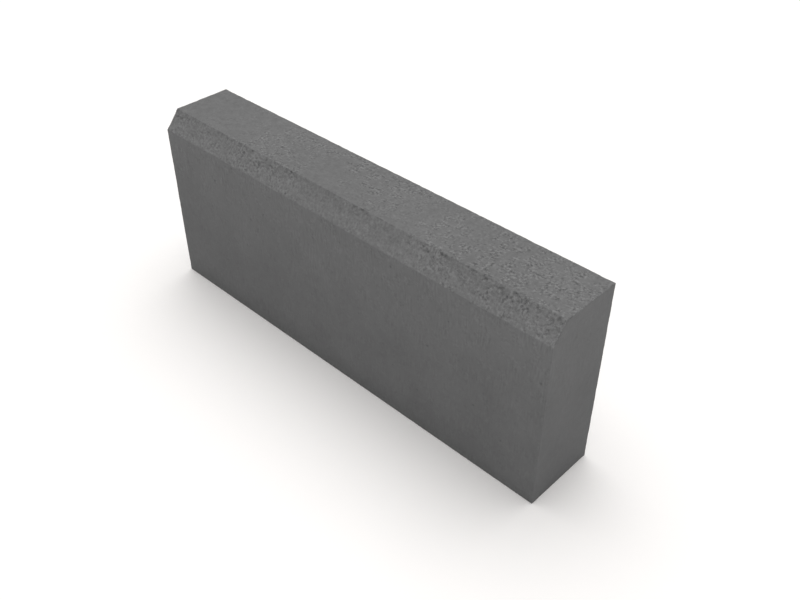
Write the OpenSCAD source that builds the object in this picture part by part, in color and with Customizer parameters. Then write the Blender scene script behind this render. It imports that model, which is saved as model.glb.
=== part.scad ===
// Concrete kerb stone: one cast block with a bevel along the front edge of its top.
// The origin is the middle of the bed. X runs along the kerb, the front faces -Y and Z is up.

/* [Block] */
// Length along the kerb line, in mm
stone_length = 500; // [100:1:1000]
// Height from the bed to the top, in mm
stone_height = 200; // [80:1:400]
// Width from the front face to the back face, in mm
stone_width = 80; // [60:1:200]

/* [Bevel] */
// How far the bevel reaches back across the top, in mm
bevel_run = 16; // [5:0.5:40]
// How far the bevel reaches down the front, in mm
bevel_drop = 19; // [5:0.5:50]

/* [Arrises] */
// Radius of the long edges, in mm
long_arris_radius = 0.8; // [0.5:0.1:4]
// Radius of the edges round each end face, in mm
end_arris_radius = 0.8; // [0.5:0.1:4]

/* [Hidden] */

// Facets that a full circle is drawn with
$fn = 64;
// Grey of plain concrete with no pigment
concrete_grey = [0.42, 0.42, 0.42];
// How far a cutter stands out past the block
cutter_margin = 2;
// How far an end arris is struck past the faces that it joins, so that its arc crosses them
arc_overlap = 0.01;

front = -stone_width / 2;
back = stone_width / 2;

// Section across the stone with square edges, as [Y, Z], anticlockwise from the front of the bed
section = [
    [front, 0],
    [back, 0],
    [back, stone_height],
    [front + bevel_run, stone_height],
    [front, stone_height - bevel_drop]
];
corner_count = len(section);

function before(i) = section[(i + corner_count - 1) % corner_count];

function after(i) = section[(i + 1) % corner_count];

function direction(from, to) = (to - from) / norm(to - from);

function heading(from, to) = atan2(to[1] - from[1], to[0] - from[0]);

// One corner of the section rounded to a radius, as [arc start, arc centre, arc end]
function rounded_corner(i, radius) =
    let (
        arriving = direction(before(i), section[i]),
        leaving = direction(section[i], after(i)),
        inward = [-arriving[1], arriving[0]],
        setback = radius * tan(acos(arriving * leaving) / 2),
        arc_start = section[i] - setback * arriving
    )
    [arc_start, arc_start + radius * inward, section[i] + setback * leaving];

// Section with its corners rounded: these arcs become the long arrises
module rounded_section() {
    corners = [for (i = [0 : corner_count - 1]) rounded_corner(i, long_arris_radius)];
    polygon([for (corner = corners) each [corner[0], corner[2]]]);
    for (corner = corners)
        translate(corner[1])
            circle(long_arris_radius);
}

// Profile of the waste off an end arris: X goes in from the side face, Y goes out of the end face
module arris_waste() {
    difference() {
        translate([-cutter_margin, -end_arris_radius])
            square(end_arris_radius + cutter_margin);
        translate([end_arris_radius, -end_arris_radius])
            circle(end_arris_radius + arc_overlap);
    }
}

// Cutter that rounds the arris between the end face and one side of the section
module arris_cutter(from, to) {
    translate(from)
        rotate(heading(from, to))
            translate([-cutter_margin, 0, 0])
                rotate([90, 0, 90])
                    linear_extrude(norm(to - from) + 2 * cutter_margin)
                        arris_waste();
}

// Drawn with the section flat and the stone standing on end, then laid along X
module kerb_stone() {
    color(concrete_grey)
        rotate([90, 0, 90])
            difference() {
                linear_extrude(stone_length, center = true)
                    rounded_section();
                for (end = [0, 1])
                    mirror([0, 0, end])
                        translate([0, 0, stone_length / 2])
                            for (i = [0 : corner_count - 1])
                                arris_cutter(section[i], after(i));
            }
}

kerb_stone();
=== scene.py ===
# %% [markdown]
# A concrete kerb stone edges a path or a lawn. Stiff concrete is packed into a steel mould, shaken and
# pressed, and pushed out while it still holds its shape. The top and the bevel keep an open, pitted
# grain, because they met the press. The sides slid along the mould, so they are smoother and carry
# fine upright drag marks. This lesson dresses the bare solid with that skin: first the recipes of
# concrete, then a material made of them, then a skin that is pressed by them, and last floor and light.

# %% Load the solid
import math

import bpy
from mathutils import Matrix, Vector


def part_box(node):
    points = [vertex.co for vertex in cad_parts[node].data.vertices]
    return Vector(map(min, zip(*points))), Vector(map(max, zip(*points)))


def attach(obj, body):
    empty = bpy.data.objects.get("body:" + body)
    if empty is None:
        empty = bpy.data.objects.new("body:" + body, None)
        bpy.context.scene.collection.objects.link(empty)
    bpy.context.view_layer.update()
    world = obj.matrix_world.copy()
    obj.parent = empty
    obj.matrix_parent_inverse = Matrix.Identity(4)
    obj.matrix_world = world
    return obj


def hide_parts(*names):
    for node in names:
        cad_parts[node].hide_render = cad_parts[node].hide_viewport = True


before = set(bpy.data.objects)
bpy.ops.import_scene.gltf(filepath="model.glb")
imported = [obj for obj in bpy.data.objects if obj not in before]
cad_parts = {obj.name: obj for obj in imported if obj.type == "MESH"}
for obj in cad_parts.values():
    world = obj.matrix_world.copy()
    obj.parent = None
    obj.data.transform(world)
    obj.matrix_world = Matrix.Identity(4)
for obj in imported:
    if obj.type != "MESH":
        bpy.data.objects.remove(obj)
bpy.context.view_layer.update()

MM = 0.001

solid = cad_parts["kerb_stone"]
low_corner, high_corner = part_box("kerb_stone")
stone_size = high_corner - low_corner
print("stone, mm:", [round(side / MM, 1) for side in stone_size])

# %% [markdown]
# The camera comes first, so that every later choice can be judged in the picture. It stands in front
# of the right-hand end and looks down on the stone. Its place and lens were worked out from the
# corners of the stone's outline, which is surer than turning the camera by eye.

# %% Camera
PICTURE_WIDTH = 800
FOCAL_LENGTH_PIXELS = 923.5
SENSOR_WIDTH_MM = 36.0
CAMERA_PLACE = Vector((0.5301, -0.4965, 0.6426))
CAMERA_AZIMUTH = math.radians(43.98)
CAMERA_ELEVATION = math.radians(38.39)

towards_camera = Vector((
    math.sin(CAMERA_AZIMUTH) * math.cos(CAMERA_ELEVATION),
    -math.cos(CAMERA_AZIMUTH) * math.cos(CAMERA_ELEVATION),
    math.sin(CAMERA_ELEVATION),
))
lens = bpy.data.cameras.new("camera")
lens.sensor_width = SENSOR_WIDTH_MM
lens.lens = FOCAL_LENGTH_PIXELS * SENSOR_WIDTH_MM / PICTURE_WIDTH
camera = bpy.data.objects.new("camera", lens)
camera.location = CAMERA_PLACE
camera.rotation_euler = (-towards_camera).to_track_quat("-Z", "Y").to_euler()
bpy.context.scene.collection.objects.link(camera)
bpy.context.scene.camera = camera
print("lens, mm:", round(lens.lens, 2))

# %% [markdown]
# Both the shape and the colour of concrete are sums of noises. Wiring those sums node by node is slow
# to write and hard to read, so one small class wraps a socket: a plus sign adds a Math node, and any
# other node comes from one method. The same class serves geometry nodes and shader nodes, so a
# recipe for pits can both dent the surface and darken it in the same places.

# %% Sockets as Python values
class Wire:
    """One socket of a node tree. Arithmetic on it adds Math nodes to the same tree."""

    def __init__(self, tree, socket=None):
        self.tree = tree
        self.socket = socket

    @staticmethod
    def find(sockets, key):
        """A socket by its number, its identifier or its name."""
        if isinstance(key, int):
            return sockets[key]
        by_identifier = [socket for socket in sockets if socket.identifier == key]
        by_name = [socket for socket in sockets if socket.name == key]
        return (by_identifier + by_name)[0]

    def node(self, kind, settings=None, sockets=None, output=0):
        """Adds any node: first its settings, then the values or links of its sockets."""
        made = self.tree.nodes.new(kind)
        for name, value in (settings or {}).items():
            setattr(made, name, value)
        for key, value in (sockets or {}).items():
            target = self.find(made.inputs, key)
            if isinstance(value, Wire):
                self.tree.links.new(value.socket, target)
            else:
                target.default_value = value
        return Wire(self.tree, self.find(made.outputs, output) if made.outputs else None)

    def out(self, key):
        """Another output of the node that this socket belongs to."""
        return Wire(self.tree, self.find(self.socket.node.outputs, key))

    def math(self, operation, *values):
        """A Math node, by the name of its operation."""
        return self.node("ShaderNodeMath", {"operation": operation}, dict(enumerate(values)))

    def vector(self, operation, *values, output="Vector"):
        """A Vector Math node, by the name of its operation."""
        settings = {"operation": operation}
        return self.node("ShaderNodeVectorMath", settings, dict(enumerate(values)), output)

    def dot(self, direction):
        """How far this vector reaches along a direction."""
        return self.vector("DOT_PRODUCT", self, direction, output="Value")

    def at_least(self, floor):
        """This value, but never under the floor."""
        return self.math("MAXIMUM", self, floor)

    def at_most(self, ceiling):
        """This value, but never over the ceiling."""
        return self.math("MINIMUM", self, ceiling)

    def between(self, start, end):
        """0 at start and before, 1 at end and after, with a smooth step between them."""
        sockets = {"Value": self, "From Min": start, "From Max": end}
        return self.node("ShaderNodeMapRange", {"interpolation_type": "SMOOTHSTEP"}, sockets)

    def blend(self, first, second):
        """A colour that goes from first to second as this value goes from 0 to 1."""
        sockets = {"Factor_Float": self, "A_Color": first, "B_Color": second}
        return self.node("ShaderNodeMix", {"data_type": "RGBA"}, sockets, "Result_Color")

    def __abs__(self):
        return self.math("ABSOLUTE", self)

    def __add__(self, other):
        return self.math("ADD", self, other)

    def __sub__(self, other):
        return self.math("SUBTRACT", self, other)

    def __rsub__(self, other):
        return self.math("SUBTRACT", other, self)

    def __mul__(self, other):
        return self.math("MULTIPLY", self, other)

    def __truediv__(self, other):
        return self.math("DIVIDE", self, other)

    def __rtruediv__(self, other):
        return self.math("DIVIDE", other, self)

    def __pow__(self, other):
        return self.math("POWER", self, other)

    __radd__ = __add__
    __rmul__ = __mul__


print("operators:", [name for name in vars(Wire) if name.startswith("__r")])

# %% [markdown]
# A few patterns make up the skin: lumps of sand and cement, torn pits where the press pulled grains
# away, upright drag marks from the mould, and a few pores of trapped air. Concrete is never evenly
# rough, so one recipe says where its rough patches are, and the pits crowd there. Each recipe takes a
# place on the stone and gives a number, and its sizes are real ones in metres.

# %% Lumps, spots and drag marks
NOISE_MIDDLE = 0.5


def lumps(place, size, detail=2.0, roughness=0.5):
    """Soft lumps of about one size, as numbers round 0.5."""
    sockets = {"Vector": place, "Scale": 1 / size, "Detail": detail, "Roughness": roughness}
    return place.node("ShaderNodeTexNoise", {}, sockets, "Fac")


def centred(pattern):
    """The same pattern as numbers round 0, which can be added without a change of level."""
    return pattern - NOISE_MIDDLE


def spots(place, size, start, end):
    """Ragged spots where the lumps rise past a level: 1 in a spot and 0 round it."""
    return lumps(place, size).between(start, end)


def drag_marks(place, width, length):
    """Upright marks, narrow across the stone and long up it, as numbers round 0.5."""
    squeezed = place.vector("MULTIPLY", place, (1 / width, 1 / width, 1 / length))
    return lumps(squeezed, size=1.0)


print("simple recipes:", [recipe.__name__ for recipe in (lumps, centred, spots, drag_marks)])

# %% Rough patches and pits
PATCH_SIZE = 90 * MM
PATCH_LEVELS = (0.36, 0.57)
PIT_SIZE = 4 * MM
PIT_LEVELS = (0.57, 0.7)
PITS_AWAY_FROM_CREST = 0.4
PITS_ON_CALM_GROUND = 0.3


def rough_patches(place):
    """1 where the skin is rough, in ragged patches some centimetres wide, and 0 on calm ground."""
    return lumps(place, PATCH_SIZE, detail=3.0, roughness=0.6).between(*PATCH_LEVELS)


def torn_pits(place, crest):
    """Pits of the pressed faces: they crowd in rough patches, and most of all at the bevel's crest."""
    by_crest = PITS_AWAY_FROM_CREST + (1 - PITS_AWAY_FROM_CREST) * crest
    by_patch = PITS_ON_CALM_GROUND + (1 - PITS_ON_CALM_GROUND) * rough_patches(place)
    return by_crest * by_patch * spots(place, PIT_SIZE, *PIT_LEVELS)


print("recipes of the pressed faces:", [recipe.__name__ for recipe in (rough_patches, torn_pits)])

# %% Air pores
PORE_SPACING = 11 * MM
PORE_RADIUS = 2 * MM
PORE_SHARE = 0.4
PORE_RIM = 0.4
LEAST_PORE = 0.001


def air_pores(place):
    """Small round pores of the sides, in a share of the cells only, and of mixed sizes."""
    sockets = {"Vector": place, "Scale": 1 / PORE_SPACING}
    from_middle = place.node("ShaderNodeTexVoronoi", {}, sockets, "Distance")
    chance = from_middle.out("Color").dot((1, 0, 0))
    radius = (PORE_SHARE - chance).at_least(LEAST_PORE) * (PORE_RADIUS / PORE_SPACING / PORE_SHARE)
    return 1 - (from_middle / radius).between(PORE_RIM, 1.0)


print("largest pore, mm across:", 2 * PORE_RADIUS / MM)

# %% [markdown]
# The colour is a plain neutral grey, but it is never flat: the paste is cloudy and mottled, its grit
# lies in clusters, pits are dark, grains of sand are a little paler, and the drag marks leave faint
# stripes on the sides. An image could hold all this, but a recipe on the stone's own coordinates has no
# seams and no fixed resolution. The skin's tree will say which finish belongs where, in attributes that
# this material reads. Noises of every size have the same still point at their origin, so both trees
# read them some metres away, at a place where the rough patches lie about as on the real stone.

# %% A material that reads the skin
PATTERN_SHIFT = Vector((6.5, 8.1, 4.0))
FRAY_SIZE = 4 * MM
FRAY_LEVELS = (0.4, 0.6)

concrete = bpy.data.materials.new("pressed_concrete")
concrete.use_nodes = True
concrete.node_tree.nodes.clear()
paint = Wire(concrete.node_tree)


def painted(name):
    """An attribute of the skin, by its name."""
    return paint.node("ShaderNodeAttribute", {"attribute_name": name}, {}, "Fac")


stone_place = paint.node("ShaderNodeTexCoord", {}, {}, "Object")
place = paint.vector("ADD", stone_place, PATTERN_SHIFT)
open_grain = (painted("open_grain") + centred(lumps(place, FRAY_SIZE))).between(*FRAY_LEVELS)
smooth_side = 1 - open_grain
bevel = painted("bevel")
crest = painted("crest")
arris = painted("arris")
end_face = painted("end_face")
print("nodes that say where:", len(concrete.node_tree.nodes))

# %% Patterns of the concrete
CLOUD_SIZE = 45 * MM
GRIT_SIZE = 2.4 * MM
SAND_SIZE = 3.4 * MM
SAND_LEVELS = (0.58, 0.72)
MOTTLE_SIZE = 7 * MM
CLUSTER_SIZE = 10 * MM
CLUSTER_LEVELS = (0.4, 0.6)
STRIPE_WIDTH = 1.8 * MM
STRIPE_LENGTH = 10 * MM
STRIPE_PATCH_SIZE = 16 * MM
STRIPE_PATCH_LEVELS = (0.35, 0.65)

rough = rough_patches(place)
clouds = centred(lumps(place, CLOUD_SIZE, detail=3.0))
grit = centred(lumps(place, GRIT_SIZE, detail=3.0, roughness=0.6))
mottle = centred(lumps(place, MOTTLE_SIZE))
clusters = spots(place, CLUSTER_SIZE, *CLUSTER_LEVELS)
striped_patches = spots(place, STRIPE_PATCH_SIZE, *STRIPE_PATCH_LEVELS)
stripes = striped_patches * centred(drag_marks(place, STRIPE_WIDTH, STRIPE_LENGTH))
pits = open_grain * torn_pits(place, crest)
sand = open_grain * rough * spots(place, SAND_SIZE, *SAND_LEVELS)
pores = smooth_side * air_pores(place)
print("nodes with the patterns:", len(concrete.node_tree.nodes))

# %% [markdown]
# One number, the tone, says how pale the paste is, from 0 to 1, and some painted light is mixed into it.
# The pressed faces get most of the grit, above all in their rough patches, and the bevel is painted a
# little paler, as painted light, except at its crest. The sides get a fainter grit, in clusters, with
# stripes. They grow livelier towards the top, and they carry painted light there, a paler tone, and
# painted shade lower down, a darker tone. The end faces are the calmest. Such places could be painted by
# hand, but sums of masks also fit a stone of another size. Sand, pits and pores are then laid over the
# paste.

# %% Tone of the pressed faces
CALM_GRIT = 0.5
ROUGH_GRIT = 3.0
BEVEL_GRIT = 0.7
BEVEL_EVENNESS = 0.35
TOP_MOTTLE = 0.45
# Painted light: the bevel is painted paler than the top, less so at its crest.
BEVEL_PAINTED_LIGHT = 0.18
CREST_SHADE = 0.1

rough_grit = ROUGH_GRIT * rough * clusters * (1 - BEVEL_EVENNESS * bevel)
pressed_grit = CALM_GRIT + rough_grit + BEVEL_GRIT * bevel
on_top = pressed_grit * grit + TOP_MOTTLE * mottle + BEVEL_PAINTED_LIGHT * bevel - CREST_SHADE * crest
print("nodes with the pressed faces:", len(concrete.node_tree.nodes))

# %% Tone of the sides
SIDE_CONTRAST = 0.5
UPPER_EXTRA_CONTRAST = 0.5
STRIPE_SHARE = 0.8
SIDE_MOTTLE = 0.15
END_CALM = 0.45
# Painted shade and painted light: the sides are painted darker all over, and paler again towards the top.
SIDE_PAINTED_SHADE = 0.04
UPPER_PAINTED_LIGHT = 0.16
UPPER_START = 0.35 * stone_size.z
UPPER_END = 0.95 * stone_size.z

upper_part = stone_place.dot((0, 0, 1)).between(UPPER_START, UPPER_END)
side_contrast = (SIDE_CONTRAST + UPPER_EXTRA_CONTRAST * upper_part) * (1 - END_CALM * end_face)
side_marks = side_contrast * (clusters * grit + STRIPE_SHARE * stripes) + SIDE_MOTTLE * mottle
# The sides carry painted light towards the top and painted shade lower down.
on_sides = side_marks + UPPER_PAINTED_LIGHT * upper_part - SIDE_PAINTED_SHADE
print("nodes with the sides:", len(concrete.node_tree.nodes))

# %% Colour of the concrete
MIDDLE_TONE = 0.52
CLOUD_CONTRAST = 0.25
DARK_PASTE = (0.09, 0.09, 0.09, 1)
LIGHT_PASTE = (0.225, 0.225, 0.225, 1)
PALE_SAND = (0.25, 0.25, 0.25, 1)
DARK_PIT = (0.065, 0.065, 0.065, 1)
SAND_COVER = 0.45
ARRIS_COVER = 0.05
PIT_COVER = 0.34
PORE_COVER = 0.3

tone = MIDDLE_TONE + open_grain * on_top + smooth_side * on_sides + CLOUD_CONTRAST * clouds
paste = tone.blend(DARK_PASTE, LIGHT_PASTE)
sanded = (SAND_COVER * sand + ARRIS_COVER * arris).blend(paste, PALE_SAND)
colour = (PIT_COVER * pits + PORE_COVER * pores).blend(sanded, DARK_PIT)
print("nodes with the colour:", len(concrete.node_tree.nodes))

# %% [markdown]
# Grains of sand are finer than the skin's grid, which has a point about every two millimetres. A finer
# grid would make the mesh too heavy, so the finest grain is a bump: it tilts the light on the surface
# and moves no point. Dry concrete has no shine, so the surface is rough all over.

# %% Bump and shader
BUMP_HEIGHT = 0.6 * MM
BUMP_STRENGTH = 0.6
GRIT_RISE = 0.6
SAND_RISE = 0.3
STRIPE_RISE = 0.3
PORE_SINK = 0.6
MIDDLE_ROUGHNESS = 0.9
GRIT_ROUGHNESS = 0.12
DULL_SPECULAR = 0.2

pressed_bump = GRIT_RISE * grit + SAND_RISE * sand - pits
side_bump = STRIPE_RISE * stripes - PORE_SINK * pores
bump = paint.node("ShaderNodeBump", {}, {
    "Strength": BUMP_STRENGTH,
    "Distance": BUMP_HEIGHT,
    "Height": open_grain * pressed_bump + smooth_side * side_bump,
})
surface = paint.node("ShaderNodeBsdfPrincipled", {}, {
    "Base Color": colour,
    "Roughness": MIDDLE_ROUGHNESS + GRIT_ROUGHNESS * grit,
    "Specular IOR Level": DULL_SPECULAR,
    "Normal": bump,
})
paint.node("ShaderNodeOutputMaterial", {}, {"Surface": surface})
print("concrete nodes:", len(concrete.node_tree.nodes))

# %% [markdown]
# The skin of the stone could be a subdivided cube with a displacement modifier, but its bevel and
# arrises would have to be modelled again by hand. Here a geometry nodes tree lays a fine grid over a
# plain box, draws every point to the nearest place on the solid, and then presses the grain inwards.

# %% The tree's inputs
SKIN_INPUTS = {
    "Solid": "NodeSocketObject",
    "Low Corner": "NodeSocketVector",
    "Size": "NodeSocketVector",
    "Rows Along": "NodeSocketInt",
    "Rows Across": "NodeSocketInt",
    "Rows Up": "NodeSocketInt",
    "Bevel Direction": "NodeSocketVector",
    "Bevel Back": "NodeSocketFloat",
    "Bevel Foot": "NodeSocketFloat",
    "Crest Reach": "NodeSocketFloat",
    "Foot Fray": "NodeSocketFloat",
    "Pattern Shift": "NodeSocketVector",
    "Grain Depth": "NodeSocketFloat",
    "Pit Depth": "NodeSocketFloat",
    "Drag Depth": "NodeSocketFloat",
    "Pore Depth": "NodeSocketFloat",
    "Arris Wear": "NodeSocketFloat",
    "Bed Margin": "NodeSocketFloat",
    "Material": "NodeSocketMaterial",
}
skin_tree = bpy.data.node_groups.new("pressed_concrete_skin", "GeometryNodeTree")
for label, kind in SKIN_INPUTS.items():
    skin_tree.interface.new_socket(label, in_out="INPUT", socket_type=kind)
skin_tree.interface.new_socket("Skin", in_out="OUTPUT", socket_type="NodeSocketGeometry")
skin = Wire(skin_tree).node("NodeGroupInput")
print("inputs of the skin:", list(SKIN_INPUTS))

# %% [markdown]
# The grid starts as a box with even rows. An arris is rounded to less than a millimetre, and even rows
# would have to be far too many to follow it. So the rows are moved first: they gather at every edge and
# crease, and about a third of the rows across the top are kept for the bevel. Each upright column is
# squeezed to end at the bevel, so no corner of the box is left over to crumple on the end faces.

# %% Rows gathered at the edges
EDGE_SPACING = 0.3
CREASE_SPACING = 0.6
LONG_POWER = 31
TOP_POWER = 15
BEVEL_POWER = 3
BEVEL_ROWS = 0.35


def gathered(share, power, end_spacing):
    """Turns even rows from -1 to 1 into shares of the way from 0 to 1 that lie closer at both ends.

    The power is odd, and the higher it is, the narrower is the strip where the rows gather.
    """
    pull = (1 - end_spacing) / (power - 1)
    moved = (1 + pull) * share - pull * share ** power
    return 0.5 + 0.5 * moved


grid = skin.node("GeometryNodeMeshCube", {}, {
    "Size": (2, 2, 2),
    "Vertices X": skin.out("Rows Along"),
    "Vertices Y": skin.out("Rows Across"),
    "Vertices Z": skin.out("Rows Up"),
})
row = skin.node("ShaderNodeSeparateXYZ", {}, {"Vector": skin.node("GeometryNodeInputPosition")})
bevel_row = ((row.out("Y") + 1) / BEVEL_ROWS - 1).at_most(1)
top_row = ((row.out("Y") - 1) / (1 - BEVEL_ROWS) + 1).at_least(-1)
along = gathered(row.out("X"), LONG_POWER, EDGE_SPACING)
up = gathered(row.out("Z"), LONG_POWER, EDGE_SPACING)
over_bevel = gathered(bevel_row, BEVEL_POWER, CREASE_SPACING)
over_top = gathered(top_row, TOP_POWER, EDGE_SPACING)
print("grid nodes:", len(skin_tree.nodes))

# %% Rows squeezed to the section and drawn onto the solid
box_low = skin.node("ShaderNodeSeparateXYZ", {}, {"Vector": skin.out("Low Corner")})
box_size = skin.node("ShaderNodeSeparateXYZ", {}, {"Vector": skin.out("Size")})
high_edge = box_low.out("Z") + box_size.out("Z")
bevel_run = skin.out("Bevel Back") - box_low.out("Y")
bevel_drop = high_edge - skin.out("Bevel Foot")
column_height = box_size.out("Z") - (1 - over_bevel) * bevel_drop
section_place = skin.node("ShaderNodeCombineXYZ", {}, {
    "X": box_low.out("X") + along * box_size.out("X"),
    "Y": box_low.out("Y") + over_bevel * bevel_run + over_top * (box_size.out("Y") - bevel_run),
    "Z": box_low.out("Z") + up * column_height,
})
solid_shape = skin.node("GeometryNodeObjectInfo", {}, {"Object": skin.out("Solid")}, "Geometry")
nearest = skin.node("GeometryNodeProximity", {"target_element": "FACES"}, {
    "Target": solid_shape,
    "Source Position": section_place,
}, "Position")
wrapped = skin.node("GeometryNodeSetPosition", {}, {"Geometry": grid, "Position": nearest})
print("skin nodes so far:", len(skin_tree.nodes))

# %% [markdown]
# The press and the mould leave their marks by direction: what looks up was pressed, what looks
# sideways slid along the mould. So the masks come from the normals of the wrapped grid. At an arris
# the normal points along none of the flat faces, and that finds the worn edges without any list of
# them.

# %% Masks from the normals
PRESSED_TILT = (0.3, 0.6)
FRONT_TILT = (0.3, 0.5)
END_TILT = (0.5, 0.9)
BEVEL_MATCH = (0.8, 0.95)
ARRIS_TURN = (0.0, 0.06)

normal = skin.node("GeometryNodeInputNormal", {}, {}, "Normal")
facing = skin.node("ShaderNodeSeparateXYZ", {}, {"Vector": normal})
upward = facing.out("Z").between(*PRESSED_TILT)
frontward = (-1 * facing.out("Y")).between(*FRONT_TILT)
endward = abs(facing.out("X")).between(*END_TILT)
along_bevel = normal.dot(skin.out("Bevel Direction"))
on_bevel = along_bevel.between(*BEVEL_MATCH)
flatness = along_bevel
for axis in "XYZ":
    flatness = flatness.at_least(abs(facing.out(axis)))
sharp_turn = (1 - flatness).between(*ARRIS_TURN)
edge_wear = skin.node("GeometryNodeBlurAttribute", {}, {"Value": sharp_turn, "Iterations": 1})
print("skin nodes so far:", len(skin_tree.nodes))

# %% [markdown]
# The crest is the crease between the bevel and the top. The press tore most there, so the pits crowd
# along it and thin out down the slope. At the foot of the bevel the open grain doesn't stop at a line:
# it frays out over a few millimetres, partly on the bevel and partly on the front face. The tree
# measures both distances on the grid and stores the masks by name, where the material finds them.

# %% Crest, foot and stored masks
def keep(geometry, name, value):
    """Stores a number on every point, where the material can read it."""
    sockets = {"Geometry": geometry, "Name": name, "Value": value}
    return geometry.node("GeometryNodeStoreNamedAttribute", {"data_type": "FLOAT"}, sockets)


crease = skin.node("ShaderNodeCombineXYZ", {}, {"Y": skin.out("Bevel Back"), "Z": high_edge})
across = skin.vector("MULTIPLY", skin.node("GeometryNodeInputPosition"), (0, 1, 1))
crease_gap = skin.vector("DISTANCE", across, crease, output="Value")
near_crest = 1 - crease_gap.between(0, skin.out("Crest Reach"))
height = across.dot((0, 0, 1))
above_foot = height - skin.out("Bevel Foot")
frayed = above_foot.between(-1 * skin.out("Foot Fray"), skin.out("Foot Fray"))
masked = keep(wrapped, "open_grain", frontward * frayed + (1 - frontward) * upward)
masked = keep(masked, "bevel", on_bevel)
masked = keep(masked, "crest", on_bevel * near_crest)
masked = keep(masked, "arris", edge_wear)
masked = keep(masked, "end_face", endward)
print("skin nodes so far:", len(skin_tree.nodes))

# %% [markdown]
# The relief only ever goes inwards, because a mould gives concrete its outer size and wear takes some
# away. A displacement texture would do it too, but the tree reuses the recipes of the material, so
# each dark pit is also a real dent. An arris gets wear in place of pits, and less of it than its
# radius, or the skin would fold over itself there. The relief fades out above the bed, because the
# stone stands on it.

# %% Depth of the relief
GRAIN_SIZE = 6 * MM
DRAG_WIDTH = 5 * MM
DRAG_LENGTH = 40 * MM
WEAR_SIZE = 8 * MM
WEAR_LEVELS = (0.4, 0.75)


def stored(name):
    """One attribute of the wrapped grid, by its name."""
    return skin.node("GeometryNodeInputNamedAttribute", {"data_type": "FLOAT"}, {"Name": name}, "Attribute")


grain_place = skin.vector("ADD", skin.node("GeometryNodeInputPosition"), skin.out("Pattern Shift"))
pit_depth = skin.out("Pit Depth") * torn_pits(grain_place, stored("crest"))
pressed_depth = skin.out("Grain Depth") * lumps(grain_place, GRAIN_SIZE) + pit_depth
pore_depth = skin.out("Pore Depth") * air_pores(grain_place)
side_depth = skin.out("Drag Depth") * drag_marks(grain_place, DRAG_WIDTH, DRAG_LENGTH) + pore_depth
face_depth = stored("open_grain") * pressed_depth + (1 - stored("open_grain")) * side_depth
wear_depth = skin.out("Arris Wear") * spots(grain_place, WEAR_SIZE, *WEAR_LEVELS)
skin_depth = (1 - stored("arris")) * face_depth + stored("arris") * wear_depth
above_bed = (height - box_low.out("Z")).between(0, skin.out("Bed Margin"))
depth = above_bed * skin_depth
print("skin nodes so far:", len(skin_tree.nodes))

# %% Press the grain inwards
inward = skin.node("ShaderNodeVectorMath", {"operation": "SCALE"}, {"Vector": normal, "Scale": -1 * depth})
relief = skin.node("GeometryNodeSetPosition", {}, {"Geometry": masked, "Offset": inward})
smooth = skin.node("GeometryNodeSetShadeSmooth", {}, {"Geometry": relief})
whole = skin.node("GeometryNodeRealizeInstances", {}, {"Geometry": smooth})
dressed = skin.node("GeometryNodeSetMaterial", {}, {"Geometry": whole, "Material": skin.out("Material")})
skin.node("NodeGroupOutput", {}, {"Skin": dressed})
print("skin nodes:", len(skin_tree.nodes))

# %% [markdown]
# The tree needs a few sizes of the stone. They could be typed in, but they are measured on the solid,
# so that the skin still fits when the stone is made in another size. The finished skin is then taken
# as a plain mesh, which any other program can read, and the tree has done its work. Last the skin is
# fastened to the stone's body, where it takes the place of the bare solid.

# %% Measure the bevel
SLANT = 0.3
SAME_DIRECTION = 0.9999

slanting = [face for face in solid.data.polygons if -face.normal.y > SLANT and face.normal.z > SLANT]
bevel_direction = max(slanting, key=lambda face: face.area).normal.copy()
bevel_faces = [face for face in slanting if face.normal.dot(bevel_direction) > SAME_DIRECTION]
bevel_points = [solid.data.vertices[index].co for face in bevel_faces for index in face.vertices]
bevel_back = max(point.y for point in bevel_points)
bevel_foot = min(point.z for point in bevel_points)
print("bevel, mm: back to", round(bevel_back / MM, 2), "and down to", round(bevel_foot / MM, 2))

# %% Sizes of the skin
ROW_SPACING = Vector((2.05, 1.18, 2.1)) * MM

rows = [round(side / step) + 1 for side, step in zip(stone_size, ROW_SPACING)]
skin_values = {
    "Solid": solid,
    "Low Corner": low_corner,
    "Size": stone_size,
    "Rows Along": rows[0],
    "Rows Across": rows[1],
    "Rows Up": rows[2],
    "Bevel Direction": bevel_direction,
    "Bevel Back": bevel_back,
    "Bevel Foot": bevel_foot,
    "Crest Reach": 18 * MM,
    "Foot Fray": 6 * MM,
    "Pattern Shift": PATTERN_SHIFT,
    "Grain Depth": 0.3 * MM,
    "Pit Depth": 0.8 * MM,
    "Drag Depth": 0.15 * MM,
    "Pore Depth": 0.5 * MM,
    "Arris Wear": 0.45 * MM,
    "Bed Margin": 4 * MM,
    "Material": concrete,
}
print("rows along, across and up:", rows)

# %% Press the stone
stone = bpy.data.objects.new("kerb_stone_skin", bpy.data.meshes.new("kerb_stone_skin"))
bpy.context.scene.collection.objects.link(stone)
press = stone.modifiers.new("press", "NODES")
press.node_group = skin_tree
for socket in skin_tree.interface.items_tree:
    if socket.in_out == "INPUT":
        press[socket.identifier] = skin_values[socket.name]
state = bpy.context.evaluated_depsgraph_get()
pressed_stone = stone.evaluated_get(state)
stone_mesh = bpy.data.meshes.new_from_object(pressed_stone, preserve_all_data_layers=True, depsgraph=state)
stone.modifiers.remove(press)
stone.data = stone_mesh
print("skin:", len(stone_mesh.vertices), "points,", len(stone_mesh.polygons), "faces")

# %% Fasten the skin to the frame
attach(stone, "root")
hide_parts("kerb_stone")
print("the skin stands for the bare solid")

# %% [markdown]
# A studio table gives a white floor that runs out of the picture and holds one soft shadow. The camera
# sees a faintly warm white with a touch of glow, so that the open floor reaches pure white and the
# shadow is a warm grey. For the light that it throws back onto the stone the floor is a plain white.

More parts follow.
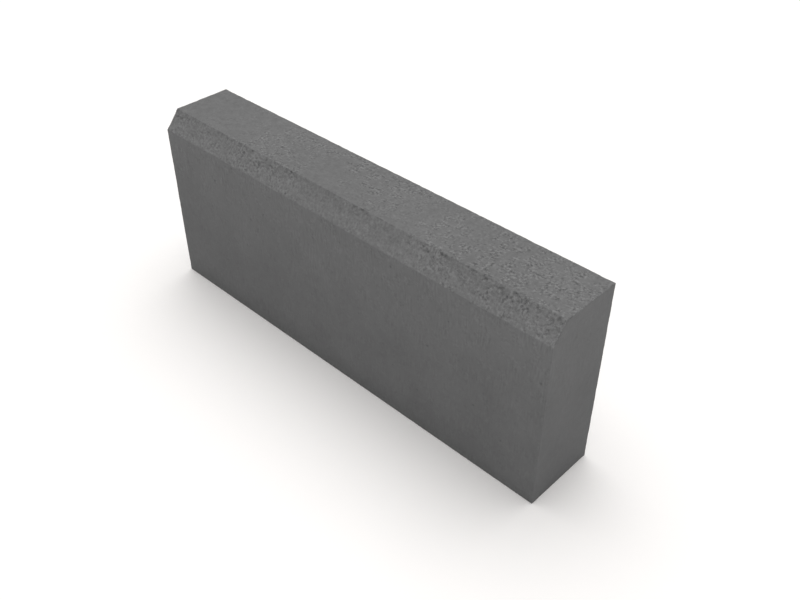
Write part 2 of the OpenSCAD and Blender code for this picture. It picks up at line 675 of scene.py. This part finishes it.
# %% Paint of the floor
WHITE = (1, 1, 1, 1)
WARM_WHITE = (1, 0.98, 0.965, 1)
FLOOR_BOUNCE = (0.95, 0.95, 0.95, 1)
FLOOR_GLOW = 0.035


def seen_by_camera(tree):
    """1 for what the camera sees, straight or in a mirror or through glass, and 0 for bounced light."""
    ray = tree.node("ShaderNodeLightPath", {}, {}, "Is Camera Ray")
    return ray.at_least(ray.out("Is Glossy Ray")).at_least(ray.out("Is Transmission Ray"))


floor_paint = bpy.data.materials.new("studio_floor")
floor_paint.use_nodes = True
floor_paint.node_tree.nodes.clear()
table = Wire(floor_paint.node_tree)
bounce = table.node("ShaderNodeBsdfDiffuse", {}, {"Color": FLOOR_BOUNCE})
bright = table.node("ShaderNodeAddShader", {}, {
    0: table.node("ShaderNodeBsdfDiffuse", {}, {"Color": WARM_WHITE}),
    1: table.node("ShaderNodeEmission", {}, {"Color": WHITE, "Strength": FLOOR_GLOW}),
})
shown = table.node("ShaderNodeMixShader", {}, {0: seen_by_camera(table), 1: bounce, 2: bright})
table.node("ShaderNodeOutputMaterial", {}, {"Surface": shown})
print("nodes of the floor's paint:", len(floor_paint.node_tree.nodes))

# %% Floor
FLOOR_REACH = 6.0

floor_corners = [(x * FLOOR_REACH, y * FLOOR_REACH, 0) for x, y in ((-1, -1), (1, -1), (1, 1), (-1, 1))]
floor_mesh = bpy.data.meshes.new("floor")
floor_mesh.from_pydata(floor_corners, [], [range(len(floor_corners))])
floor_mesh.materials.append(floor_paint)
floor = bpy.data.objects.new("floor", floor_mesh)
bpy.context.scene.collection.objects.link(floor)
print("floor, m across:", 2 * FLOOR_REACH)

# %% [markdown]
# About one third of the light comes from an even white dome. The rest comes from one very broad lamp,
# nearly overhead, a little behind the stone and to its left, so that a soft shadow falls forwards. An
# area lamp close by would do as well, but its light fades with distance and would shade the stone by
# itself, so a far lamp with a wide angle is used. Together they come to about 1 on the floor, the level
# at which a grey renders about as it is written.

# %% Dome
DOME_LEVEL = 0.36

world = bpy.data.worlds.new("studio")
bpy.context.scene.world = world
world.use_nodes = True
world.node_tree.nodes.clear()
dome = Wire(world.node_tree)
level = DOME_LEVEL + (1 - DOME_LEVEL) * seen_by_camera(dome)
sky = dome.node("ShaderNodeBackground", {}, {"Color": WHITE, "Strength": level})
dome.node("ShaderNodeOutputWorld", {}, {"Surface": sky})
print("dome level:", DOME_LEVEL)

# %% Lamp
LAMP_LEVEL = 0.68
LAMP_ELEVATION = math.radians(77.5)
LAMP_AZIMUTH = math.radians(132)
LAMP_BREADTH = math.radians(65)

towards_lamp = Vector((
    math.cos(LAMP_ELEVATION) * math.cos(LAMP_AZIMUTH),
    math.cos(LAMP_ELEVATION) * math.sin(LAMP_AZIMUTH),
    math.sin(LAMP_ELEVATION),
))
lamp_data = bpy.data.lights.new("broad_lamp", "SUN")
lamp_data.angle = LAMP_BREADTH
lamp_data.energy = LAMP_LEVEL * math.pi / towards_lamp.z
lamp = bpy.data.objects.new("broad_lamp", lamp_data)
lamp.rotation_euler = (-towards_lamp).to_track_quat("-Z", "Y").to_euler()
bpy.context.scene.collection.objects.link(lamp)
bpy.context.scene.view_settings.view_transform = "Standard"
print("lamp, W a square metre:", round(lamp_data.energy, 2))

# %% [markdown]
# Dressing a part must not change its size, because other parts are fitted to it.
